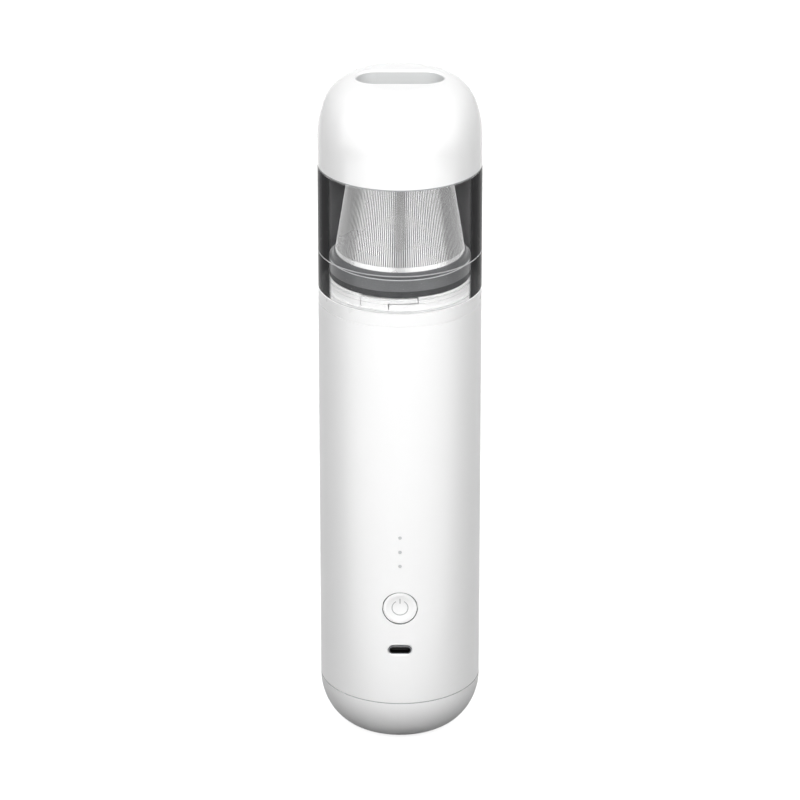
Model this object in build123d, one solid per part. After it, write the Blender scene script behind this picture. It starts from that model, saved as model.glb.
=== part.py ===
from build123d import *
import os
from math import cos, degrees, radians, sin, sqrt

# Slim upright handheld vacuum cleaner, in millimetres.
# +Z points up, the controls face -Y, and the origin is at the middle of the foot on the table.

# Outside
body_radius = 31.5
cap_height = 21.0
base_radius = 15.0
bin_height = 49.5
nozzle_height = 34.0
collar_height = 5.5

# Walls
shell_wall = 2.2
cap_wall = 2.4
bin_wall = 3.5
nozzle_wall = 2.3
neck_wall = 2.2

# Fits
slip = 0.1
running = 0.3
pin_play = 0.05
seam_edge = 0.2
seam_gap = 0.2

# Foot and bottom cap
foot_stand = 0.3
foot_depth = 1.0
foot_rim = 1.6
cap_lip = 0.5
spigot_height = 6.0
spigot_wall = 2.2
screw_spacing = 17.0
screw_radius = 1.25
screw_length = 12.0
screw_head_radius = 2.6
screw_head_height = 1.6
cap_boss_radius = 4.0
cap_boss_height = 2.0
pillar_radius = 3.2

# Cells and chassis
cell_radius = 9.2
cell_length = 65.2
cell_web = 0.6
cell_setback = 6.0
cup_wall = 1.4
tab_thickness = 0.3
tab_width = 7.0
cell_edge = 0.9
floor_thickness = 2.0
deck_thickness = 2.0
deck_hole_radius = 2.5
deck_hole_x = 18.2

# Controls, measured down from the deck over the cells
lamp_drop = 2.5
lamp_pitch = 6.05
lamp_count = 3
button_drop = 18.1
port_drop = 18.2

# Button, switch and lamps
button_radius = 6.6
button_gap = 0.35
button_sink = 0.15
button_dish_radius = 5.4
button_dish_depth = 0.75
button_flange = 0.7
button_flange_thickness = 0.8
button_travel = 0.5
switch_size = 6.2
switch_height = 3.1
plunger_radius = 1.7
plunger_reach = 1.0
plunger_seat = 0.2
lamp_radius = 0.65
guide_width = 4.0
guide_thickness = 1.0
guide_margin = 2.5
chip_width = 1.6
chip_height = 0.8
chip_depth = 0.5

# Charging socket
port_width = 8.94
port_height = 3.26
port_metal = 0.3
port_sink = 0.35
port_gap = 0.2
port_bevel = 0.3
tongue_width = 6.6
tongue_thickness = 0.7
tongue_sink = 0.9

# Board
board_width = 24.0
board_thickness = 1.6
board_depth = 6.1
board_foot = 8.0
board_head = 1.8
board_clearance = 1.0
control_chip_size = 7.0
control_chip_height = 1.2
coil_radius = 3.0
coil_height = 3.0
coil_x = 6.5
rail_width = 3.0
rail_lip = 1.2
groove_depth = 0.9

# Motor
motor_radius = 14.0
motor_length = 38.0
can_wall = 0.9
motor_boss_radius = 5.0
motor_boss_height = 2.0
boss_clearance = 1.0
endbell_height = 3.0
endbell_spigot = 2.0
bush_radius = 3.2
bush_length = 3.4
bush_floor = 0.6
bush_roof = 0.4
shaft_radius = 1.5
shaft_end_gap = 0.2
armature_radius = 8.6
armature_length = 20.0
armature_slots = 5
armature_slot_depth = 3.0
armature_slot_mouth = 1.4
armature_pocket_radius = 2.0
armature_pocket_offset = 5.3
magnet_gap = 0.7
magnet_arc = 140.0
magnet_overhang = 1.0
cradle_wall = 2.2
cradle_rise = 12.0
cradle_grip = 10.0
cradle_flange = 3.4
cradle_foot = 1.6
cradle_ledge = 2.0
cradle_window = 7.0
pad_thickness = 1.0

# Fan
impeller_plate = 1.2
impeller_lift = 3.8
blade_count = 9
blade_thickness = 0.9
blade_sweep = -62.0
blade_bow = 0.6
blade_eye_height = 8.0
blade_rim_height = 4.6
eye_radius = 9.5
hub_radius = 4.0
hub_drop = 0.8
fan_headroom = 2.0
fan_gap = 1.0
diffuser_plate = 2.0
diffuser_passage = 2.6
diffuser_wall = 1.6
vane_count = 11
vane_thickness = 1.0
vane_lean = 28.0
vane_depth = 5.0
vane_root = 0.4
vane_drop = 1.0
cover_thickness = 1.6
cover_gap = 0.7
cover_rim = 2.0
fan_cushion = 3.0
fan_cushion_height = 8.0
guard_thickness = 2.0
guard_rim = 4.0
guard_bar = 1.2
guard_ring_pitch = 5.0
guard_spokes = 8

# Vents in the back of the grip
vent_width = 1.8
vent_length = 10.0
vent_row_pitch = 14.0
vent_rows = 2
vent_columns = 9
vent_step = 8.5
foam_thickness = 2.5
foam_margin = 4.0

# Collar, neck and snap arms
collar_spigot = 13.3
neck_height = 5.0
arm_count = 3
arm_slit = 0.45
arm_start = -32.6
arm_stem = 23.6
arm_reach = 23.4
arm_height = 2.4
arm_drop = 0.5
arm_cut_margin = 1.0
catch_reach = 0.25
catch_height = 1.0
catch_arc = 8.0
catch_inset = 2.0
catch_root = 0.4

# Dust bin
bin_spigot = 8.0
bin_spigot_wall = 1.1
bin_line_height = 15.4
bin_line_width = 0.5
bin_line_depth = 0.25
bin_edge = 0.3
catch_groove = 0.5
bin_seat = 0.8

# Nozzle
nozzle_gasket_height = 0.5
gasket_inset = 0.15
dome_flat = 14.0
dome_rise = 24.0
dome_fullness = 0.65
slot_width = 33.0
slot_depth = 15.0
slot_rounding = 0.8
duct_wall = 1.6
duct_length = 11.0

# Valve
seat_thickness = 2.0
seat_margin = 0.9
seat_lap = 1.2
flap_thickness = 1.2
flap_lap = 1.0
flap_tail = 2.0
hinge_radius = 1.3
flap_pin_radius = 0.5
ear_width = 1.8
ear_radius = 1.4
ear_root = 1.0
ear_setback = 4.0

# Filter
skirt_wall = 1.8
skirt_depth = 10.0
skirt_lead = 0.8
skirt_chamfer = 0.4
filter_gasket_height = 2.5
gasket_width = 2.6
flange_overhang = 0.7
flange_height = 4.8
flange_step = 2.1
flange_floor = 2.4
flange_edge = 0.3
shelf_margin = 0.6
shelf_slope = 0.5
cone_inset = 2.4
cone_taper = 5.7
cone_height = 35.2
cone_skin = 0.4
cone_base_band = 1.8
cone_top_band = 2.0
slit_count = 180
slit_width = 0.34
pleat_count = 36
pleat_depth = 5.0
pleat_paper = 1.2
pleat_gap = 0.8
filter_top_height = 3.0
filter_top_lap = 0.7
filter_top_edge = 1.0

# Levels, from the table up
seam_z = cap_height
spigot_z = seam_z + spigot_height
cap_floor_z = foot_stand + foot_depth + cap_wall
chassis_z = spigot_z + floor_thickness
cell_z = chassis_z + tab_thickness
cup_z = cell_z + cell_length + tab_thickness + 4 * slip
deck_z = cup_z + deck_thickness
cradle_z = deck_z + cradle_rise
motor_z = cradle_z + pad_thickness
motor_top_z = motor_z + motor_length
impeller_z = motor_top_z + impeller_lift
fan_rim_z = impeller_z + impeller_plate + blade_eye_height + fan_headroom
cover_z = fan_rim_z + cover_rim
guard_z = cover_z + guard_thickness
collar_z = guard_z + collar_spigot
bin_z = collar_z + collar_height
neck_z = bin_z + neck_height
nozzle_z = bin_z + bin_height
dome_z = nozzle_z + nozzle_gasket_height
top_z = nozzle_z + nozzle_height + nozzle_gasket_height
flange_z = neck_z + filter_gasket_height
flange_rim_z = flange_z + flange_height
cone_z = flange_rim_z + flange_step
cone_top_z = cone_z + cone_height
filter_top_z = cone_top_z + filter_top_height
duct_z = top_z - duct_length
valve_z = duct_z - seat_thickness
lamp_top_z = cup_z - lamp_drop
lamp_z = lamp_top_z - (lamp_count - 1) * lamp_pitch
button_z = lamp_z - button_drop
port_z = button_z - port_drop
vent_z = (motor_z + motor_top_z) / 2
board_low_z = port_z - board_foot
board_high_z = lamp_top_z + board_head
coil_z = (port_z + button_z) / 2
armature_z = (motor_z + endbell_height + motor_top_z - armature_length) / 2
lower_bush_z = motor_z + bush_floor
upper_bush_z = motor_top_z + motor_boss_height - bush_roof - bush_length
hinge_z = valve_z - hinge_radius - running

# Radii and distances from the axis
shell_bore = body_radius - shell_wall
fit_radius = shell_bore - slip
bin_bore = body_radius - bin_wall
neck_radius = bin_bore - running
neck_bore = neck_radius - neck_wall
nozzle_bore = body_radius - nozzle_wall
skirt_radius = neck_bore - running
filter_bore = skirt_radius - skirt_wall
flange_radius = bin_bore - flange_overhang
cone_base_radius = flange_radius - cone_inset
cone_top_radius = cone_base_radius - cone_taper
board_face = shell_bore - board_depth
cell_offset = cell_radius + slip + cell_web / 2
cup_radius = cell_radius + slip + cup_wall
fan_radius = shell_bore - fan_cushion - slip
fan_bore = fan_radius - diffuser_wall
plate_radius = fan_bore - diffuser_passage
impeller_radius = plate_radius - fan_gap
hinge_y = slot_depth / 2 + duct_wall + seat_margin
ear_inner = slot_width / 2 - ear_setback

UP = (Align.CENTER, Align.CENTER, Align.MIN)


def rod(radius, low, high, x=0.0, y=0.0):
    """Upright round bar between two levels."""
    return Pos(x, y, low) * Cylinder(radius, high - low, align=UP)


def ring(outer, inner, low, high):
    """Upright ring between two radii and two levels."""
    return rod(outer, low, high) - rod(inner, low, high)


def block(x_low, x_high, y_low, y_high, z_low, z_high):
    """Block between its lowest and highest corners."""
    middle = Pos((x_low + x_high) / 2, (y_low + y_high) / 2, z_low)
    return middle * Box(x_high - x_low, y_high - y_low, z_high - z_low, align=UP)


def turned(points):
    """Solid turned about the upright axis from a closed outline of (radius, level) points."""
    return revolve(Plane.XZ * make_face(Polyline(*points, close=True)), Axis.Z)


def turned_edges(edges, arc=360.0):
    """Solid turned about the upright axis from the edges of a closed outline."""
    return revolve(Plane.XZ * make_face(Curve() + edges), Axis.Z, arc)


def front(distance, z):
    """Upright plane in front of the axis that faces the user."""
    return Plane(origin=(0, -distance, z), x_dir=(1, 0, 0), z_dir=(0, -1, 0))


def toward_front(outline, start, end, z):
    """Outline pushed towards the front, between two distances from the axis."""
    return extrude(front(start, z) * outline, end - start)


def polar(radius, angle):
    """Point on a circle, with the angle in degrees."""
    return (radius * cos(radians(angle)), radius * sin(radians(angle)))


def sector(inner, outer, low, high, start, arc):
    """Part of a ring, where angle 0 is the front and angles run to the right."""
    points = [(inner, low), (outer, low), (outer, high), (inner, high)]
    piece = turned_edges([Polyline(*points, close=True)], arc)
    return Rot(0, 0, start - 90) * piece


def radial_slit(inner, outer, low, high, angle, width):
    """Thin upright block that points outwards at an angle from the front."""
    return Rot(0, 0, angle - 90) * block(inner, outer, -width / 2, width / 2, low, high)


# Bottom cap, foot and screws


def bowl(radius, flat, low, high):
    """Solid bowl with a flat floor, a quarter of an ellipse for its side and a short upright lip."""
    lip_z = high - cap_lip
    edges = [
        Line((0, low), (flat, low)),
        EllipticalCenterArc((flat, lip_z), radius - flat, lip_z - low, 270, arc_size=90),
        Line((radius, lip_z), (radius, high)),
        Line((radius, high), (0, high)),
        Line((0, high), (0, low)),
    ]
    return turned_edges(edges)


def seam_chamfer():
    """What the chamfer takes off the upper edge of the bottom cap."""
    reach = body_radius + seam_edge
    return turned([(body_radius - seam_edge, seam_z), (reach, seam_z), (reach, seam_z - 2 * seam_edge)])


def make_bottom_cap():
    cap = bowl(body_radius, base_radius, foot_stand, seam_z)
    cap -= bowl(body_radius - cap_wall, base_radius, cap_floor_z, seam_z)
    cap -= seam_chamfer()
    cap += ring(fit_radius, fit_radius - spigot_wall, seam_z - 2 * cap_wall, spigot_z)
    boss_z = cap_floor_z + cap_boss_height
    pocket_z = foot_stand + foot_depth
    for side in (-1, 1):
        x = side * screw_spacing / 2
        cap += rod(cap_boss_radius, cap_floor_z - cap_wall / 2, boss_z, x)
        cap -= rod(screw_radius + 3 * slip, foot_stand, boss_z, x)
        cap -= rod(screw_head_radius + slip, foot_stand, pocket_z + screw_head_height, x)
    return cap - rod(base_radius - foot_rim, foot_stand, pocket_z)


def make_foot_pad():
    pad = rod(base_radius - foot_rim - slip, 0, foot_stand + foot_depth)
    return fillet(pad.edges().group_by(Axis.Z)[0], foot_stand)


def make_cap_screws():
    head_z = foot_stand + foot_depth
    shank_z = head_z + screw_head_height
    screws = []
    for side in (-1, 1):
        x = side * screw_spacing / 2
        head = rod(screw_head_radius, head_z, shank_z, x)
        screws.append(head + rod(screw_radius, shank_z, shank_z + screw_length, x))
    return screws


# Chassis, cells and board


def make_chassis():
    chassis = rod(fit_radius - slip, spigot_z, chassis_z)
    cup = SlotOverall(2 * (cell_offset + cup_radius), 2 * cup_radius)
    chassis += Pos(0, cell_setback, chassis_z) * extrude(cup, cup_z - chassis_z)
    rail_x = board_width / 2 - groove_depth + rail_width / 2
    rail_front = -board_face - rail_lip
    rail_back = cell_setback - cup_radius + 1.5 * cup_wall
    for side in (-1, 1):
        chassis += rod(pillar_radius, cap_floor_z + cap_boss_height, spigot_z, side * screw_spacing / 2)
        low_x = side * rail_x - rail_width / 2
        chassis += block(low_x, low_x + rail_width, rail_front, rail_back, chassis_z, cup_z)
    notch = SlotOverall(2 * (cell_offset + slip) + tab_width, tab_width + 2 * slip)
    chassis -= Pos(0, cell_setback, chassis_z) * extrude(notch, tab_thickness + slip)
    for side in (-1, 1):
        chassis -= rod(cell_radius + slip, chassis_z, cup_z, side * cell_offset, cell_setback)
        chassis -= rod(screw_radius + pin_play, cap_floor_z, spigot_z, side * screw_spacing / 2)
    half = board_width / 2 + slip
    slot_back = -board_face + board_thickness + slip
    return chassis - block(-half, half, -board_face - slip, slot_back, board_low_z, cup_z)


def make_cell(side):
    x = side * cell_offset
    can = rod(cell_radius, cell_z, cell_z + cell_length, x, cell_setback)
    return fillet(can.edges().group_by(Axis.Z)[-1], cell_edge)


def make_cell_link():
    link = SlotOverall(2 * cell_offset + tab_width, tab_width)
    return Pos(0, cell_setback, chassis_z) * extrude(link, tab_thickness)


def make_cell_tabs():
    top = cell_z + cell_length
    half = tab_width / 2
    tab = block(-half, half, cell_setback - tab_width, cell_setback + half, top, top + tab_thickness)
    return [Pos(side * cell_offset, 0, 0) * tab for side in (-1, 1)]


def make_main_board():
    half = board_width / 2
    return block(-half, half, -board_face, -board_face + board_thickness, board_low_z, board_high_z)


def make_board_parts():
    """Control chip and round charging coil on the back of the board."""
    back = board_face - board_thickness
    square = Rectangle(control_chip_size, control_chip_size)
    chip = toward_front(square, back - control_chip_height, back, button_z)
    coil = toward_front(Circle(coil_radius), back - coil_height, back, coil_z)
    return [chip, Pos(coil_x, 0, 0) * coil]


def make_switch():
    top = board_face + switch_height
    pocket = plunger_seat + button_travel + slip
    base = toward_front(Rectangle(switch_size, switch_size), board_face, top, button_z)
    return base - toward_front(Circle(plunger_radius + slip), top - pocket, top, button_z)


def make_plunger():
    top = board_face + switch_height
    return toward_front(Circle(plunger_radius), top - plunger_seat, top + plunger_reach, button_z)


def make_button():
    tip = board_face + switch_height + plunger_reach
    flange_top = tip + button_flange_thickness
    crown = body_radius - button_sink
    cap = toward_front(Circle(button_radius + button_flange), tip, flange_top, button_z)
    cap += toward_front(Circle(button_radius), tip, crown, button_z)
    cap = fillet(cap.edges().group_by(Axis.Y)[0], bin_edge)
    ball = (button_dish_radius**2 + button_dish_depth**2) / (2 * button_dish_depth)
    dish = Pos(0, -(crown + ball - button_dish_depth), button_z) * Sphere(ball)
    return cap - dish


def make_lamp_chips():
    outline = Rectangle(chip_width, chip_height)
    chip = toward_front(outline, board_face, board_face + chip_depth, lamp_z)
    return [Pos(0, 0, i * lamp_pitch) * chip for i in range(lamp_count)]


def make_light_guide():
    middle = (lamp_z + lamp_top_z) / 2
    back = sqrt(shell_bore**2 - (guide_width / 2) ** 2) - slip
    bar = SlotOverall(lamp_top_z - lamp_z + 2 * guide_margin, guide_width, rotation=90)
    guide = toward_front(bar, back - guide_thickness, back, middle)
    pin_start = board_face + chip_depth + slip
    pin = toward_front(Circle(lamp_radius), pin_start, body_radius - slip / 2, lamp_z)
    return guide + [Pos(0, 0, i * lamp_pitch) * pin for i in range(lamp_count)]


def make_port_shell():
    mouth = body_radius - port_sink
    shell = toward_front(SlotOverall(port_width, port_height), board_face, mouth, port_z)
    inner = SlotOverall(port_width - 2 * port_metal, port_height - 2 * port_metal)
    return shell - toward_front(inner, board_face + port_metal, mouth, port_z)


def make_port_tongue():
    mouth = body_radius - port_sink
    plate = RectangleRounded(tongue_width, tongue_thickness, tongue_thickness / 3)
    return toward_front(plate, board_face + port_metal, mouth - tongue_sink, port_z)


# Grip shell


def make_body_shell():
    points = [
        (shell_bore, seam_z),
        (body_radius - seam_edge, seam_z),
        (body_radius, seam_z + seam_edge),
        (body_radius, collar_z),
        (shell_bore, collar_z),
    ]
    shell = turned(points)
    reach = body_radius + shell_wall
    start = shell_bore - 2 * shell_wall
    shell -= toward_front(Circle(button_radius + button_gap), start, reach, button_z)
    for i in range(lamp_count):
        shell -= toward_front(Circle(lamp_radius + slip), start, reach, lamp_z + i * lamp_pitch)
    port = SlotOverall(port_width + 2 * port_gap, port_height + 2 * port_gap)
    shell -= toward_front(port, start, reach, port_z)
    bevel_start = sqrt(body_radius**2 - (port_width / 2) ** 2) - port_bevel
    shell -= extrude(front(bevel_start, port_z) * port, reach - bevel_start, taper=-45)
    slot = SlotOverall(vent_length, vent_width, rotation=90)
    for row in range(vent_rows):
        z = vent_z + (row - (vent_rows - 1) / 2) * vent_row_pitch
        for column in range(vent_columns):
            angle = 180 + (column - (vent_columns - 1) / 2) * vent_step
            shell -= Rot(0, 0, angle) * toward_front(slot, start, reach, z)
    return shell


def make_exhaust_foam():
    arc = (vent_columns - 1) * vent_step + 2 * degrees(foam_margin / fit_radius)
    height = (vent_rows - 1) * vent_row_pitch + vent_length + 2 * foam_margin
    low = vent_z - height / 2
    return sector(fit_radius - foam_thickness, fit_radius, low, low + height, 180 - arc / 2, arc)


# Motor


def make_motor_deck():
    deck = rod(fit_radius - slip, cup_z, deck_z)
    half = board_width / 2 + groove_depth
    notch_back = -board_face + board_thickness + board_clearance
    deck -= block(-half, half, -body_radius, notch_back, cup_z, deck_z)
    for side in (-1, 1):
        deck -= rod(deck_hole_radius, cup_z, deck_z, side * deck_hole_x, -tab_width)
    return deck


def make_motor_cradle():
    bore = motor_radius + slip
    outer = bore + cradle_wall
    cradle = ring(outer, bore, deck_z, cradle_z + cradle_grip)
    foot_z = deck_z + cradle_foot
    ledge_z = cradle_z - cradle_ledge
    cradle += ring(outer + cradle_flange, bore, deck_z, foot_z)
    cradle += ring(bore + cradle_wall / 2, motor_boss_radius + boss_clearance, ledge_z, cradle_z)
    window = Pos(0, 0, (foot_z + ledge_z) / 2) * Box(bore, 3 * outer, cradle_window)
    for turn in (45, 135):
        cradle -= Rot(0, 0, turn) * window
    return cradle


def make_motor_pad():
    return ring(motor_radius, motor_boss_radius + boss_clearance, cradle_z, motor_z)


def make_motor_endbell():
    rim_z = motor_z + endbell_height
    bell = rod(motor_radius, motor_z, rim_z)
    bell += rod(motor_radius - can_wall - slip, rim_z, rim_z + endbell_spigot)
    bell -= rod(bush_radius + pin_play, lower_bush_z, rim_z + endbell_spigot)
    return bell - rod(shaft_radius + running, motor_z, lower_bush_z)


def make_motor_can():
    low = motor_z + endbell_height
    can = rod(motor_radius, low, motor_top_z)
    can = fillet(can.edges().group_by(Axis.Z)[-1], can_wall)
    can += rod(motor_boss_radius, motor_top_z, motor_top_z + motor_boss_height)
    can -= rod(motor_radius - can_wall, low, motor_top_z - can_wall)
    can -= rod(bush_radius + pin_play, low, upper_bush_z + bush_length)
    return can - rod(shaft_radius + running, motor_top_z, motor_top_z + motor_boss_height)


def make_bushes():
    bores = (lower_bush_z, upper_bush_z)
    return [ring(bush_radius, shaft_radius + pin_play, low, low + bush_length) for low in bores]


def make_magnets():
    low = armature_z - magnet_overhang
    high = armature_z + armature_length + magnet_overhang
    outer = motor_radius - can_wall - pin_play
    inner = armature_radius + magnet_gap
    return [sector(inner, outer, low, high, side - magnet_arc / 2, magnet_arc) for side in (90, 270)]


def make_shaft():
    return rod(shaft_radius, lower_bush_z + shaft_end_gap, impeller_z + impeller_plate + blade_eye_height)


def make_armature():
    core = Circle(armature_radius) - Circle(shaft_radius + pin_play / 2)
    slot = Pos(armature_radius, 0) * Rectangle(armature_slot_depth, armature_slot_mouth)
    slot += Pos(armature_pocket_offset, 0) * Circle(armature_pocket_radius)
    for i in range(armature_slots):
        core -= Rot(0, 0, 360 / armature_slots * i) * slot
    return Pos(0, 0, armature_z) * extrude(core, armature_length)


# Fan


def blade_outline(inner, outer, sweep, thickness):
    """Curved blade between two radii, swept by an angle, with an even thickness."""
    stations = [(inner, 0), ((inner + outer) / 2, blade_bow * sweep), (outer, sweep)]
    lead = ThreePointArc(*[polar(radius, angle) for radius, angle in stations])
    shifted = [(radius, angle + degrees(thickness / radius)) for radius, angle in stations]
    trail = ThreePointArc(*[polar(radius, angle) for radius, angle in shifted])
    edges = [lead, Line(lead @ 1, trail @ 1), trail, Line(trail @ 0, lead @ 0)]
    return make_face(Curve() + edges)


def make_impeller():
    plate_z = impeller_z + impeller_plate
    root = hub_radius - blade_thickness / 2
    outline = blade_outline(root, impeller_radius, blade_sweep, blade_thickness)
    blade = Pos(0, 0, plate_z) * extrude(outline, blade_eye_height)
    wheel = rod(impeller_radius, impeller_z, plate_z)
    blades = [Rot(0, 0, 360 / blade_count * i) * blade for i in range(blade_count)]
    envelope = turned(
        [
            (0, impeller_z),
            (impeller_radius, impeller_z),
            (impeller_radius, plate_z + blade_rim_height),
            (eye_radius, plate_z + blade_eye_height),
            (0, plate_z + blade_eye_height),
        ]
    )
    wheel = (wheel + blades) & envelope
    hub_z = impeller_z - hub_drop
    wheel += rod(hub_radius, hub_z, plate_z + blade_eye_height)
    return wheel - rod(shaft_radius + pin_play / 2, hub_z, plate_z + blade_eye_height)


def make_diffuser():
    top = motor_top_z + diffuser_plate
    diffuser = ring(plate_radius, motor_boss_radius + slip, motor_top_z, top)
    diffuser += ring(fan_radius, fan_bore, motor_top_z, fan_rim_z)
    inner = plate_radius - vane_root
    outer = fan_bore + vane_root
    vane = Rot(vane_lean, 0, 0) * Box(outer - inner + vane_thickness, vane_thickness, vane_depth)
    vane = Pos((inner + outer) / 2, 0, motor_top_z + diffuser_plate / 2) * vane
    vane &= ring(outer, inner, motor_top_z - vane_drop, impeller_z - vane_root)
    return diffuser + [Rot(0, 0, 360 / vane_count * i) * vane for i in range(vane_count)]


def make_fan_cover():
    plate_z = impeller_z + impeller_plate
    eye_z = plate_z + blade_eye_height + cover_gap
    rim_z = plate_z + blade_rim_height + cover_gap
    wall = fan_bore - slip
    points = [
        (eye_radius, eye_z),
        (impeller_radius, rim_z),
        (wall, rim_z),
        (wall, fan_rim_z),
        (fan_radius, fan_rim_z),
        (fan_radius, cover_z),
        (wall - cover_thickness, cover_z),
        (wall - cover_thickness, rim_z + cover_thickness),
        (impeller_radius, rim_z + cover_thickness),
        (eye_radius + cover_thickness, eye_z + cover_thickness),
        (eye_radius, eye_z + cover_thickness),
    ]
    return turned(points)


def make_fan_cushion():
    middle = (motor_top_z + fan_rim_z) / 2
    low = middle - fan_cushion_height / 2
    return ring(fit_radius, fan_radius + slip, low, low + fan_cushion_height)


def make_guard():
    outer = fit_radius - slip
    grille = Circle(outer) - Circle(outer - guard_rim)
    radius = guard_ring_pitch
    while radius + guard_ring_pitch / 2 < outer - guard_rim:
        grille += Circle(radius + guard_bar / 2) - Circle(radius - guard_bar / 2)
        radius += guard_ring_pitch
    spoke = Pos(outer / 2, 0) * Rectangle(outer - guard_rim / 2, guard_bar)
    for i in range(guard_spokes):
        grille += Rot(0, 0, 360 / guard_spokes * i) * spoke
    grille += Circle(guard_bar)
    return Pos(0, 0, cover_z) * extrude(grille, guard_thickness)


# Lock collar


def make_collar():
    spigot_bore = fit_radius - spigot_wall
    edge = bin_edge
    points = [
        (neck_bore, collar_z),
        (spigot_bore, collar_z - (spigot_bore - neck_bore)),
        (spigot_bore, guard_z),
        (fit_radius, guard_z),
        (fit_radius, collar_z),
        (body_radius - edge, collar_z),
        (body_radius, collar_z + edge),
        (body_radius, bin_z),
        (neck_radius, bin_z),
        (neck_radius, neck_z - edge),
        (neck_radius - edge, neck_z),
        (neck_bore, neck_z),
    ]
    collar = turned(points)
    inner = neck_bore - arm_cut_margin
    outer = neck_radius + arm_cut_margin
    floor_z = bin_z + arm_height
    stem_end = arm_start + arm_stem
    arm_end = stem_end + arm_reach
    catch_z = floor_z + arm_slit + (neck_z - arm_drop - floor_z - arm_slit) / 2
    cuts = [
        radial_slit(inner, outer, bin_z, neck_z, arm_start, arm_slit),
        radial_slit(inner, outer, bin_z, floor_z + arm_slit, stem_end, arm_slit),
        radial_slit(inner, outer, floor_z, neck_z, arm_end, arm_slit),
        sector(inner, outer, floor_z, floor_z + arm_slit, stem_end, arm_reach),
        sector(inner, outer, neck_z - arm_drop, neck_z, arm_start, arm_stem + arm_reach),
    ]
    catch = sector(
        neck_radius - catch_root,
        neck_radius + catch_reach,
        catch_z - catch_height / 2,
        catch_z + catch_height / 2,
        arm_end - catch_arc - catch_inset,
        catch_arc,
    )
    for i in range(arm_count):
        turn = Rot(0, 0, 360 / arm_count * i)
        for cut in cuts:
            collar -= turn * cut
        collar += turn * catch
    return collar


# Dust bin, nozzle and valve


def make_dust_bin():
    spigot_radius = nozzle_bore - slip
    line_low = bin_z + bin_line_height - bin_line_width / 2
    groove_low = bin_z + arm_height
    groove_high = neck_z - arm_drop + slip
    groove_radius = bin_bore + catch_groove
    edge = bin_edge
    seat_radius = bin_bore + edge + bin_seat
    rim_z = bin_z + seam_gap
    points = [
        (bin_bore + edge, bin_z),
        (seat_radius, bin_z),
        (seat_radius, rim_z),
        (body_radius - edge, rim_z),
        (body_radius, rim_z + edge),
        (body_radius, line_low),
        (body_radius - bin_line_depth, line_low + bin_line_width / 2),
        (body_radius, line_low + bin_line_width),
        (body_radius, nozzle_z - edge),
        (body_radius - edge, nozzle_z),
        (spigot_radius, nozzle_z),
        (spigot_radius, nozzle_z + bin_spigot),
        (spigot_radius - bin_spigot_wall, nozzle_z + bin_spigot),
        (bin_bore, nozzle_z),
        (bin_bore, groove_high),
        (groove_radius, groove_high - catch_groove),
        (groove_radius, groove_low + catch_groove),
        (bin_bore, groove_low),
        (bin_bore, bin_z + edge),
    ]
    return turned(points)


def make_nozzle_gasket():
    return ring(body_radius - gasket_inset, nozzle_bore + slip, nozzle_z, dome_z)


def dome_edges(radius, flat, low, shoulder, high):
    """Edges of a dome from its lower edge, up over a full shoulder to a flat top and the axis."""
    lift = dome_fullness * (high - shoulder)
    pull = dome_fullness * (radius - flat)
    return [
        Line((radius, low), (radius, shoulder)),
        Bezier((radius, shoulder), (radius, shoulder + lift), (flat + pull, high), (flat, high)),
        Line((flat, high), (0, high)),
        Line((0, high), (0, low)),
        Line((0, low), (radius, low)),
    ]


def stadium(margin):
    """Flat outline of the suction slot, grown by a margin."""
    return SlotOverall(slot_width + 2 * margin, slot_depth + 2 * margin)


def make_nozzle_cap():
    shoulder = top_z - dome_rise
    dome = turned_edges(dome_edges(body_radius, dome_flat, dome_z, shoulder, top_z))
    inside = turned_edges(
        dome_edges(nozzle_bore, dome_flat, dome_z, shoulder, top_z - nozzle_wall)
    )
    duct = Pos(0, 0, duct_z) * extrude(stadium(duct_wall), duct_length - nozzle_wall / 2)
    slot = Pos(0, 0, duct_z) * extrude(stadium(0), duct_length + nozzle_wall)
    cap = dome - inside + (duct & dome) - slot
    rim = [edge for edge in cap.edges() if edge.center().Z > top_z - nozzle_wall / 2 and hugs_slot(edge)]
    return fillet(rim, slot_rounding)


def hugs_slot(edge):
    """Whether an edge runs along the wall of the suction slot."""
    half = (slot_width - slot_depth) / 2
    for point in (edge @ 0, edge @ 0.5, edge @ 1):
        beyond = max(abs(point.X) - half, 0)
        if abs(sqrt(beyond**2 + point.Y**2) - slot_depth / 2) > slip:
            return False
    return True


def make_valve_seat():
    outer = duct_wall + seat_margin
    seat = Pos(0, 0, valve_z) * extrude(stadium(outer) - stadium(-seat_lap), seat_thickness)
    stem = valve_z - hinge_z + ear_root
    outline = Circle(ear_radius) + Pos(0, stem / 2) * Rectangle(2 * ear_radius, stem)
    outline -= Circle(flap_pin_radius + slip / 4)
    for low_x in (-ear_inner - ear_width, ear_inner):
        seat += extrude(across(low_x) * outline, ear_width)
    return seat


def across(x):
    """Upright plane on the hinge line that faces to the right."""
    return Plane(origin=(x, hinge_y, hinge_z), x_dir=(0, 1, 0), z_dir=(1, 0, 0))


def make_flap():
    low = valve_z - flap_thickness
    flap = Pos(0, 0, low) * extrude(stadium(flap_lap - seat_lap), flap_thickness)
    half = ear_inner - running
    flap += extrude(across(-half) * Circle(hinge_radius), 2 * half)
    flap += block(-half, half, slot_depth / 2 - flap_tail, hinge_y, low, valve_z - running)
    return flap - extrude(across(-half) * Circle(flap_pin_radius + pin_play), 2 * half)


def make_flap_pin():
    half = ear_inner + ear_width
    return extrude(across(-half) * Circle(flap_pin_radius), 2 * half)


# Filter


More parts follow.
